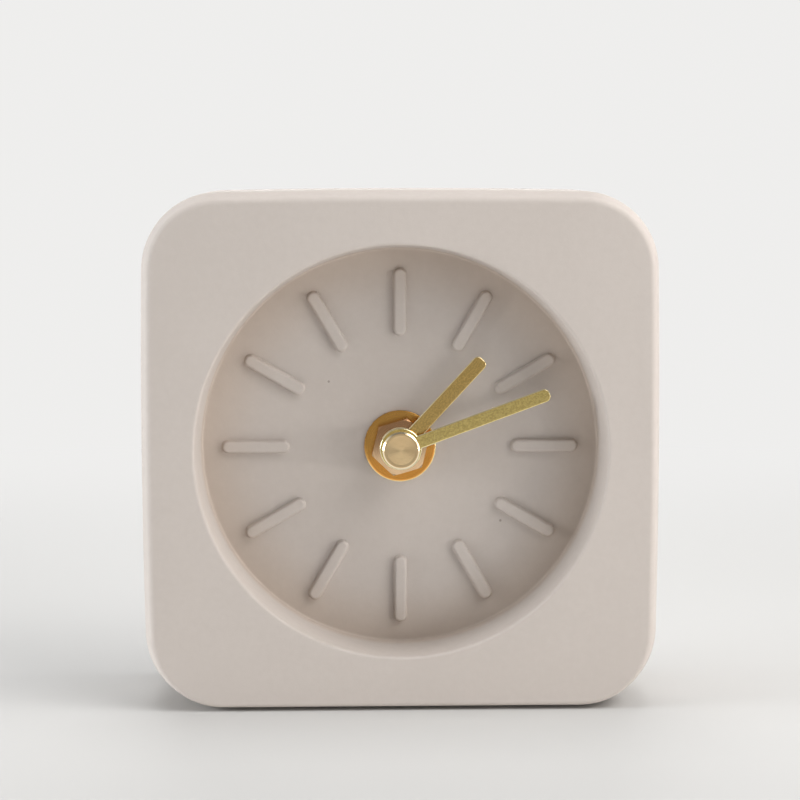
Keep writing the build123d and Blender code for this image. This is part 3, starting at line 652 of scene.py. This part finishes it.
def washerSurface():
    # a turned section: flat face, a slightly fallen rim, the side and the back
    w = washer
    hole, rim, front, back = w["holeRadius"], washerHigh[0], washerLow[1], washerHigh[1]
    section = roundedLine(
        [(hole, back), (hole, front), (rim - w["rimWidth"], front), (rim, front + w["rimDrop"]),
         (rim, back), (hole, back)],
        [w["holeRound"], w["rimRound"], w["edgeRound"], w["backRound"]], steps=4, hold=0.03,
        longest=w["longest"])
    return turned(section, axisAt, w["spokes"])


washerFinish = turnedBrass("washerBrass", "washer", washerLow[1] * mm)
makePiece("dialWasher", washerSurface(), "clock", washerFinish, ["dial_washer"])

hexNut = {
    "flats": 10.0, "turnDeg": 16.5, "boreRadius": 3.93, "chamferDeg": 30.0, "chamferFrom": 5.32,
    "crownDeg": 7.0, "edgeDrop": 0.18, "rings": 14, "ringPower": 0.7, "spokes": 240, "sharpDeg": 24,
}
nutLow, nutHigh = nodeBox("hex_nut")


def hexNutSurface():
    # a hexagon's distance on each heading; the front is a low cone, and both faces are cut back beyond
    # the chamfer circle
    h = hexNut
    angle = headings(h["spokes"])
    sector = (angle - math.radians(h["turnDeg"])) % (turn / 6) - turn / 12
    edge = h["flats"] / 2 / np.cos(sector)
    share = np.linspace(0, 1, h["rings"])[:, None] ** h["ringPower"]
    reach = h["boreRadius"] + (edge - h["boreRadius"]) * share
    cut = np.maximum(reach - h["chamferFrom"], 0) * math.tan(math.radians(h["chamferDeg"]))
    crown = (reach - h["boreRadius"]) * math.tan(math.radians(h["crownDeg"]))
    level = joined([nutLow[1] + crown + cut, (nutHigh[1] - cut)[::-1]])
    reach = joined([reach, reach[::-1]])
    return surface(onHeadings(reach, level, angle), closeRows=True, closeCols=True)


nutFinish = turnedBrass("nutBrass", "nut", (nutLow[1] + hexNut["edgeDrop"]) * mm)
makePiece("hexNut", hexNutSurface(), "clock", nutFinish, ["hex_nut"], hexNut["sharpDeg"])

hands = {
    "hour": {"node": "hour_hand", "clockDeg": 42.9, "length": 23.55, "width": 2.9, "hole": 2.52},
    "minute": {"node": "minute_hand", "clockDeg": 69.8, "length": 30.8, "width": 2.65, "hole": 1.42},
}
handForm = {
    "thick": 0.45, "eyeRadius": 4.1, "tipRound": 1.1, "bevel": 0.28, "backEdge": 0.05, "faceRun": 0.05,
    "edgeSteps": 39, "tipSteps": 9, "eyeSteps": 120, "bevelSteps": 6,
}
collet = {"radius": 3.4, "behind": 0.3, "frontRound": 0.05, "backRound": 0.08, "spokes": 96}


def handRing(hand, inset):
    # the hand's outline moved inwards: lower edge, rounded tip, upper edge, then the eye's arc
    f = handForm
    eye, half = f["eyeRadius"] - inset, hand["width"] / 2 - inset
    length, tip = hand["length"] - inset, f["tipRound"] - inset
    root = math.asin(half / eye)
    run = np.linspace(0, 1, f["edgeSteps"], endpoint=False)
    edgeX = eye * math.cos(root) + (length - tip - eye * math.cos(root)) * run
    sweep = np.linspace(-math.pi / 2, 0, f["tipSteps"])
    endX = length - tip + tip * np.cos(sweep)
    endZ = tip - half + tip * np.sin(sweep)
    arc = np.linspace(root, turn - root, f["eyeSteps"], endpoint=False)
    x = joined([edgeX, endX, endX[::-1], edgeX[::-1], eye * np.cos(arc)])
    z = joined([0 * edgeX - half, endZ, -endZ[::-1], 0 * edgeX + half, eye * np.sin(arc)])
    return x, z


def handSpine(hand):
    # where each outline point runs to: the middle line of the bar, then the rim of the eye's hole
    f = handForm
    hole = hand["hole"]
    end = np.full(2 * f["tipSteps"], hand["length"] - hand["width"] / 2)
    lineX = hole + (end[0] - hole) * np.linspace(0, 1, f["edgeSteps"], endpoint=False)
    arc = headings(f["eyeSteps"])
    x = joined([lineX, end, lineX[::-1], hole * np.cos(arc)])
    z = joined([0 * lineX, 0 * end, 0 * lineX, hole * np.sin(arc)])
    return x, z


def handSurface(hand):
    # back face, side, round front edge and front face as rings; the hole's wall joins the first to the last
    f = handForm
    front = nodeBox(hand["node"])[0][1]
    back = front + f["thick"]
    bevel, small = f["bevel"], f["backEdge"]
    swing = np.linspace(0, math.pi / 2, f["bevelSteps"])
    insets = joined([[small, 0.0], bevel * (1 - np.cos(swing)), [bevel + f["faceRun"]]])
    edgeLevels = front + bevel * (1 - np.sin(swing))
    levels = joined([[back, back, back - small], edgeLevels, [front, front]])
    rings = [handSpine(hand)] + [handRing(hand, inset) for inset in insets] + [handSpine(hand)]
    x = np.array([ring[0] for ring in rings])
    z = np.array([ring[1] for ring in rings])
    lean = math.radians(90 - hand["clockDeg"])
    vertices, faces = surface(alongHeading(x, z, levels[:, None], lean), closeCols=True)
    cols = x.shape[1]
    start = cols - f["eyeSteps"]
    first = np.arange(start, cols)
    after = np.where(first + 1 < cols, first + 1, start)
    lift = (len(rings) - 1) * cols
    wall = np.stack([first, after, after + lift, first + lift], -1)
    return vertices, joined([faces, wall])


def colletSurface(hand):
    # a short tube behind the hour hand's eye, turned from a closed section
    low, high = nodeBox(hand["node"])
    hole, rim, start = hand["hole"], collet["radius"], low[1] + collet["behind"]
    section = roundedLine(
        [(hole, start), (rim, start), (rim, high[1]), (hole, high[1])],
        [collet["frontRound"], collet["backRound"]], steps=3, hold=0.05)
    return turned(section, axisAt, collet["spokes"], closed=True)


for key, hand in hands.items():
    front = nodeBox(hand["node"])[0][1]
    finish = satinBrass(key + "HandBrass", key + "Hand", 90 - hand["clockDeg"], front * mm)
    shape = handSurface(hand)
    if key == "hour":
        shape = together([shape, colletSurface(hand)])
    makePiece(key + "Hand", shape, key + "_set", finish, [hand["node"]])

capNut = {
    "grow": 0.19, "chamfer": 0.33, "chamferRise": 0.248, "edgeRound": 0.05, "dish": 0.02,
    "grooves": 13, "groovePitch": 0.215, "grooveDepth": 0.0058, "grooveSteps": 6,
    "boreRadius": 1.43, "boreDepth": 2.0, "spokes": 160,
}
capLow, capHigh = nodeBox("cap_nut")


def capSurface():
    # a turned face: shallow rings as a cosine of the radius, then the chamfer, the side and the blind bore
    c = capNut
    rim, front, back = capHigh[0] + c["grow"], capLow[1], capHigh[1]
    faceEnd = c["grooves"] * c["groovePitch"]
    radius = np.linspace(0, faceEnd, c["grooves"] * c["grooveSteps"] + 1)
    ring = c["grooveDepth"] * (1 - np.cos(radius / c["groovePitch"] * turn))
    face = np.stack([radius, front + c["dish"] * (1 - radius / faceEnd) + ring], -1)
    edge = roundedLine(
        [(faceEnd, front), (rim - c["chamfer"], front), (rim, front + c["chamferRise"]), (rim, back),
         (c["boreRadius"], back)],
        [c["edgeRound"]] * 3, steps=3, hold=0.03)
    boreEnd = back - c["boreDepth"]
    bore = np.array([(c["boreRadius"], boreEnd), (0.0, boreEnd)])
    return turned(joined([face[:-1], edge, bore]), axisAt, c["spokes"])


capFinish = turnedBrass("capBrass", "cap", capLow[1] * mm)
makePiece("capNut", capSurface(), "minute_set", capFinish, ["cap_nut"])
print("brass stack and hands made")


# Rear of the movement, seen in the case's pocket

shellFinish = mouldedFinish("shellPlastic", "shell")
knobFinish = mouldedFinish("knobPlastic", "knob")
coverLow, coverHigh = nodeBox("movement_cover")
knobLow, knobHigh = nodeBox("setting_knob")
knobAt = ((knobLow[0] + knobHigh[0]) / 2, (knobLow[2] + knobHigh[2]) / 2)

settingKnob = {
    "radius": 5.5, "flutes": 20, "fluteRadius": 0.5, "fluteRun": 1.0, "edgeRound": 0.4, "backRound": 0.1,
    "dishRadius": 3.7, "dishDepth": 0.45, "dishSlope": 0.5, "dishRound": 0.15, "bowlRound": 0.3,
    "boreRadius": 1.3, "boreDepth": 1.5, "boreRound": 0.05,
    "longest": 0.5, "spokes": 400, "sharpDeg": 40,
}


def knobSurface():
    # a turned profile whose radius dips at each flute: dip = sqrt(flute^2 - arc^2), fading out on the face
    k = settingKnob
    rim, low, high = k["radius"], knobLow[1], knobHigh[1]
    bore, boreEnd, bowl = k["boreRadius"], low + k["boreDepth"], high - k["dishDepth"]
    profile = roundedLine(
        [(0.0, boreEnd), (bore, boreEnd), (bore, low), (rim, low), (rim, high),
         (k["dishRadius"], high), (k["dishRadius"] - k["dishSlope"], bowl), (0.0, bowl)],
        [0.0, k["boreRound"], k["backRound"], k["edgeRound"], k["dishRound"], k["bowlRound"]],
        steps=5, hold=0.05, longest=k["longest"])
    angle = headings(k["spokes"])
    step = turn / k["flutes"]
    arc = rim * np.abs((angle + step / 2) % step - step / 2)
    dip = np.sqrt(np.maximum(k["fluteRadius"] ** 2 - arc ** 2, 0))
    share = np.clip((profile[:, :1] - rim + k["fluteRun"]) / (k["fluteRun"] / 2), 0, 1)
    return surface(onHeadings(profile[:, :1] - share * dip, profile[:, 1:], angle, knobAt), closeCols=True)


makePiece("settingKnob", knobSurface(), "setting_set", knobFinish, ["setting_knob"],
          settingKnob["sharpDeg"])

coverSigns = {
    "sink": 0.05, "sharpDeg": 50,
    "ribInset": 2.2, "ribCorner": 2.4, "ribHalf": 0.45, "ribRise": 0.35, "longest": 2.0,
    "ridgeSteps": 9, "ridgePower": 0.6, "ridgeEnd": 4,  # a ridge's open end shrinks over this many steps
    "arrowRadius": 8.1, "arrowFromDeg": 60.0, "arrowToDeg": 292.0, "arrowSteps": 60,
    "arrowHalf": 0.32, "arrowRise": 0.3, "headReach": 1.5,
    "signHalf": 0.32, "signReach": 1.5, "signRise": 0.3, "signInset": 5.2, "signLift": 4.6,
    "signSpokes": 240, "signInnerShare": 0.4, "signTopShare": 0.84, "signEdgeShare": 0.6,
}


def ridge(path, half, rise, closed):
    # a low rounded section carried along a path of (x, z) on the cover; an open end shrinks to nothing
    s = coverSigns
    ahead, behind = np.roll(path, -1, 0), np.roll(path, 1, 0)
    if not closed:
        ahead[-1], behind[0] = path[-1], path[0]
    way = ahead - behind
    way = way / np.linalg.norm(way, axis=1, keepdims=True)
    swing = np.linspace(0, math.pi, s["ridgeSteps"])
    across = joined([half * np.cos(swing), [-half, half]])
    lift = joined([rise * np.sin(swing) ** s["ridgePower"], [-s["sink"]] * 2])
    count = np.arange(len(path))
    fromEnd = np.full(len(path), s["ridgeEnd"]) if closed else np.minimum(count, count[::-1])
    end = np.sqrt(np.clip(fromEnd / s["ridgeEnd"], 0, 1))[:, None]
    aside = across * end
    x = path[:, :1] - way[:, 1:] * aside
    z = path[:, 1:] + way[:, :1] * aside
    y = coverHigh[1] + lift * end
    return surface(np.stack([x, y, z], -1), closeRows=closed, closeCols=True)


def raisedSign(place, reachOn, rise):
    # a flat sign given by its distance on each heading, with a sloped edge, standing on the cover
    s = coverSigns
    angle = headings(s["signSpokes"])
    share = np.array([0.0, s["signInnerShare"], s["signTopShare"], 1.0, 1.0, 0.0])[:, None]
    lift = np.array([rise, rise, rise, rise * s["signEdgeShare"], -s["sink"], -s["sink"]])[:, None]
    return surface(onHeadings(share * reachOn(angle), coverHigh[1] + lift, angle, place), closeCols=True)


def barReach(angle):
    # distance to the edge of a sign's bar along X, on each heading
    toEnd = coverSigns["signReach"] / np.maximum(np.abs(np.cos(angle)), tiny)
    toSide = coverSigns["signHalf"] / np.maximum(np.abs(np.sin(angle)), tiny)
    return np.minimum(toEnd, toSide)


def crossReach(angle):  # the same for a bar along X and one along Z
    return np.maximum(barReach(angle), barReach(angle + turn / 4))


def coverSignParts():
    # a rib along the cover's border, a turning arrow round the knob, and the two signs of the cell's ends
    s = coverSigns
    left, right = coverLow[0] + s["ribInset"], coverHigh[0] - s["ribInset"]
    low, high = coverLow[2] + s["ribInset"], coverHigh[2] - s["ribInset"]
    border = roundedLine(
        [(0, low), (right, low), (right, high), (left, high), (left, low), (0, low)],
        [s["ribCorner"]] * 4, steps=8, longest=s["longest"])
    rib = ridge(border[:-1], s["ribHalf"], s["ribRise"], True)
    swing = np.radians(np.linspace(s["arrowFromDeg"], s["arrowToDeg"], s["arrowSteps"]))
    arc = np.array(knobAt) + s["arrowRadius"] * np.stack([np.cos(swing), np.sin(swing)], -1)
    arrow = ridge(arc, s["arrowHalf"], s["arrowRise"], False)
    tip = swing[-1] + math.pi / 2

    def headReach(angle):  # a triangle that points along the arc's end
        sector = (angle - tip) % (turn / 3) - turn / 6
        return s["headReach"] / 2 / np.cos(sector)

    level = coverLow[2] + s["signLift"]
    head = raisedSign(arc[-1], headReach, s["arrowRise"])
    minus = raisedSign((coverLow[0] + s["signInset"], level), barReach, s["signRise"])
    plus = raisedSign((coverHigh[0] - s["signInset"], level), crossReach, s["signRise"])
    return together([rib, arrow, head, minus, plus])


makePiece("coverSigns", coverSignParts(), "clock", shellFinish,
          sharpDeg=coverSigns["sharpDeg"])

cellForm = {
    "radius": 7.1, "edgeRound": 0.5, "film": 0.12, "lipRadius": 5.6,
    "nubRadius": 2.75, "nubLength": 1.3, "nubRound": 0.4, "stepRadius": 4.4, "step": 0.25,
    "canGap": 0.05, "footSlope": 0.3, "headSlope": 0.4, "stepRound": 0.15, "shoulderRound": 0.4,
    "headRound": 0.1, "longest": 4.0, "spokes": 128,
}
cellLow, cellHigh = nodeBox("battery_cell")


def cellSections():
    # the film as a closed ring that turns in over both ends, and the steel can inside it, as (radius, x)
    c = cellForm
    start, end, tip = cellLow[0], cellHigh[0] - c["nubLength"], cellHigh[0]
    rim, lip, inner = c["radius"], c["lipRadius"], c["radius"] - c["film"]
    innerStart, innerEnd, innerRound = start + c["film"], end - c["film"], c["edgeRound"] - c["film"]
    film = roundedLine(
        [(lip, start), (rim, start), (rim, end), (lip, end), (lip, innerEnd),
         (inner, innerEnd), (inner, innerStart), (lip, innerStart), (lip, start)],
        [c["edgeRound"], c["edgeRound"], 0.0, 0.0, innerRound, innerRound, 0.0],
        hold=0.1, longest=c["longest"])
    wall, low, high = inner - c["canGap"], start + c["step"], end - c["step"]
    foot, step, nub = start + c["canGap"], c["stepRadius"], c["nubRadius"]
    can = roundedLine(
        [(0.0, foot), (step, foot), (step + c["footSlope"], low), (wall, low), (wall, high),
         (step, high), (step - c["headSlope"], end), (nub, end), (nub, tip), (0.0, tip)],
        [c["stepRound"], c["stepRound"], c["shoulderRound"], c["shoulderRound"],
         c["headRound"], c["stepRound"], c["stepRound"], c["nubRound"]],
        steps=5, hold=0.05, longest=c["longest"])
    return film[:-1], can


filmSection, canSection = cellSections()
cellAt = ((cellLow[1] + cellHigh[1]) / 2, (cellLow[2] + cellHigh[2]) / 2)
filmShape = turned(filmSection, cellAt, cellForm["spokes"], closed=True, alongX=True)
canShape = turned(canSection, cellAt, cellForm["spokes"], alongX=True)
canFinish = sheetMetalFinish("crystalCan", "can")
makePiece("cellFilm", filmShape, "cell", cellSleeveFinish(), ["battery_cell"])
makePiece("cellCan", canShape, "cell", canFinish)
print("rear of the movement made")


# Finishes of the solids that stay

coverMarks = {"x": (-20.0, 2.0), "z": (46.5, 70.5)}  # where the ejector pins stood, in millimetres
coverRings = [(x * mm, z * mm) for x in coverMarks["x"] for z in coverMarks["z"]]
stays = [  # a finish and the solids that have it
    (mouldedFinish("blackRubber", "rubber"), ["rubber_gasket"]),
    (sheetMetalFinish("bushBrass", "bush"), ["threaded_bush", "minute_pipe"]),
    (shellFinish, ["movement_housing", "driver_chip"]),
    (mouldedFinish("coverPlastic", "shell", coverRings), ["movement_cover"]),
    (mouldedFinish("platePlastic", "plate"), ["train_plate", "train_bridge"]),
    (mouldedFinish("magnetFerrite", "ferrite"), ["rotor_magnet"]),
    (mouldedFinish("boardLaminate", "board"), ["circuit_board"]),
    (sheetMetalFinish("statorIron", "iron"), ["stator", "coil_core"]),
    (sheetMetalFinish("copperWire", "copper"), ["coil_winding"]),
    (canFinish, ["quartz_crystal"]),
    (sheetMetalFinish("contactNickel", "nickel"), ["positive_contact", "negative_contact"]),
    (mouldedFinish("wheelPlastic", "wheel"), [
        "hour_wheel", "minute_wheel", "setting_pinion", "centre_wheel", "third_wheel", "seconds_wheel",
        "fifth_wheel", "rotor_pinion", "coil_bobbin"]),
]
for finish, group in stays:
    for node in group:
        nodes[node].data.materials.clear()
        nodes[node].data.materials.append(finish)
print("solids finished:", sum(len(group) for finish, group in stays))


# Stage, light and camera

studio = {
    "backdrop": (0.86, 0.855, 0.845, 1),
    "floor": (0.80, 0.79, 0.775, 1), "floorSeen": (0.55, 0.545, 0.535, 1),
    "floorHalf": 6.0, "floorSteps": 9, "floorConstants": {"Roughness": 0.8, "Specular IOR Level": 0.15},
    "fadeFrom": 0.22, "fadeTo": 0.75, "seenFrom": 0.16, "seenTo": 0.46,  # the floor turns into the backdrop
    "worldStrength": 0.12, "roomShade": 0.46, "overheadShade": 0.15,  # shares of the backdrop
    "dimFrom": 0.20, "dimTo": 0.36, "frontFrom": -0.75, "overheadFrom": 0.55, "overheadTo": 0.85,
    "lampAim": (0, 0, 0.05),
    "lamps": [  # name, place, width, height, watts, colour
        ("sideRight", (0.85, -0.12, 0.14), 0.45, 0.45, 1.1, (1.0, 0.985, 0.97)),
        ("lowRight", (0.75, -0.45, 0.06), 0.50, 0.10, 2.2, (1.0, 0.985, 0.96)),
        ("sideLeft", (-0.85, -0.12, 0.14), 0.45, 0.45, 7.7, (0.94, 0.975, 1.0)),
        ("overhead", (0.0, 0.05, 0.90), 0.60, 0.60, 4.6, (1.0, 1.0, 1.0)),
        ("highRight", (0.60, -0.10, 0.60), 0.50, 0.50, 2.8, (1.0, 0.99, 0.975)),
        ("highFront", (0.45, -0.45, 0.62), 0.50, 0.50, 2.6, (1.0, 0.99, 0.975)),
        ("backFill", (0.0, 0.95, 0.24), 0.60, 0.30, 4.6, (1.0, 1.0, 1.0)),
    ],
}


def seenShare(start, room):
    # how much of the backdrop a ray meets: all for the eye and glass, the room's shade for a mirror
    kinds = ("Camera", "Glossy", "Transmission")
    eye, mirror, glass = [start.node("LightPath", out="Is " + kind + " Ray") for kind in kinds]
    direct = eye.most(glass)
    return direct, direct.most(mirror * room)


def studioFloor():
    # a flat floor that takes the shadow near the clock and turns into the plain backdrop further out;
    # mirrors see the backdrop everywhere, dimmed in front by the room's shade
    s = studio
    ways = np.linspace(-s["floorHalf"], s["floorHalf"], s["floorSteps"])
    across, ahead = np.meshgrid(ways, ways)
    points, faces = surface(np.stack([across, ahead, 0 * across], -1))
    material, shader, place = startFinish("studioFloor", s["floorConstants"])
    x, y, z = axes(place)
    away = awayFrom(x, y, (0, 0))
    inFront = faded(y, -s["dimTo"], -s["dimFrom"])
    direct, share = seenShare(place, 1.0 - inFront * (1 - s["roomShade"]))
    far = ramped(away, s["fadeFrom"], s["fadeTo"]).most(1.0 - direct)
    far = far.most(ramped(away, s["seenFrom"], s["seenTo"]) * direct)
    mixed(direct, s["floor"], s["floorSeen"]).feed(shader, "Base Color")
    plain = place.node("Emission", {"Color": s["backdrop"], "Strength": share})
    shaded = Sock(place.tree, shader.outputs[0])
    both = place.node("MixShader", {0: far * share.above(0.0), 1: shaded, 2: plain})
    both.feed(material.node_tree.nodes["Material Output"], "Surface")
    mesh = bpy.data.meshes.new("studioFloor")
    mesh.from_pydata(points.tolist(), [], faces.tolist())
    mesh.materials.append(material)
    floor = placed("studioFloor", mesh)


def studioWorld():
    # dim plain light all round; the eye sees the backdrop at full strength, mirrors a room that is dusky
    # along the horizon in front and darker overhead:
    # shade = 1 - front * level * (1 - roomShade) - (1 - level) * (1 - overheadShade)
    s = studio
    world = bpy.data.worlds.new("studio")
    scene.world = world
    world.use_nodes = True
    background = world.node_tree.nodes["Background"]
    background.inputs["Color"].default_value = s["backdrop"]
    way = Sock(world.node_tree).node("TexCoord", out="Generated")
    x, y, z = axes(way)
    front = faded(y, s["frontFrom"], 0.0)
    level = faded(z, s["overheadFrom"], s["overheadTo"])
    dusk = front * level * (1 - s["roomShade"])
    direct, share = seenShare(way, 1.0 - dusk - (1.0 - level) * (1 - s["overheadShade"]))
    (s["worldStrength"] + share * (1 - s["worldStrength"])).feed(background, "Strength")


def studioLamp(name, place, width, height, watts, colour):
    lamp = bpy.data.lights.new(name, "AREA")
    lamp.shape = "RECTANGLE"
    lamp.size = width
    lamp.size_y = height
    lamp.energy = watts
    lamp.color = colour
    holder = placed(name, lamp)
    holder.location = place
    aim = Vector(studio["lampAim"]) - Vector(place)
    holder.rotation_euler = aim.to_track_quat("-Z", "Y").to_euler()
    holder.visible_glossy = name != "overhead"  # metal shows the room above, not that lamp


studioFloor()
studioWorld()
for lampRow in studio["lamps"]:
    studioLamp(*lampRow)

view = {
    "azimuthDeg": -1.5, "elevationDeg": 6.34, "rollDeg": -0.12, "distance": 0.499,
    "focalPixels": 2614.0, "aimPixel": (401.75, 453.1), "framePixels": 800,
    "sensor": 36.0, "clipStart": 0.01,
}


def photoCamera():
    # looks at the middle of the dial's front plane; the aim's pixel shifts the lens
    v = view
    camera = bpy.data.cameras.new("photoCamera")
    camera.sensor_width = v["sensor"]
    side = v["framePixels"]
    camera.lens = v["focalPixels"] / side * v["sensor"]
    camera.shift_x = (side / 2 - v["aimPixel"][0]) / side
    camera.shift_y = (v["aimPixel"][1] - side / 2) / side
    camera.clip_start = v["clipStart"]
    azimuth, elevation, roll = [math.radians(v[key]) for key in ("azimuthDeg", "elevationDeg", "rollDeg")]
    spin = Matrix.Rotation(azimuth, 4, "Z") @ Matrix.Rotation(math.pi / 2 - elevation, 4, "X")
    spin = spin @ Matrix.Rotation(roll, 4, "Z")
    level = math.cos(elevation)
    away = Vector((math.sin(azimuth) * level, -math.cos(azimuth) * level, math.sin(elevation)))
    dialFront = Vector((0, caseLow[1] * mm, dialZ * mm))
    holder = placed("photoCamera", camera)
    holder.matrix_world = Matrix.Translation(dialFront + v["distance"] * away) @ spin
    scene.camera = holder


photoCamera()
scene.view_settings.view_transform = "Standard"
print("studio set")
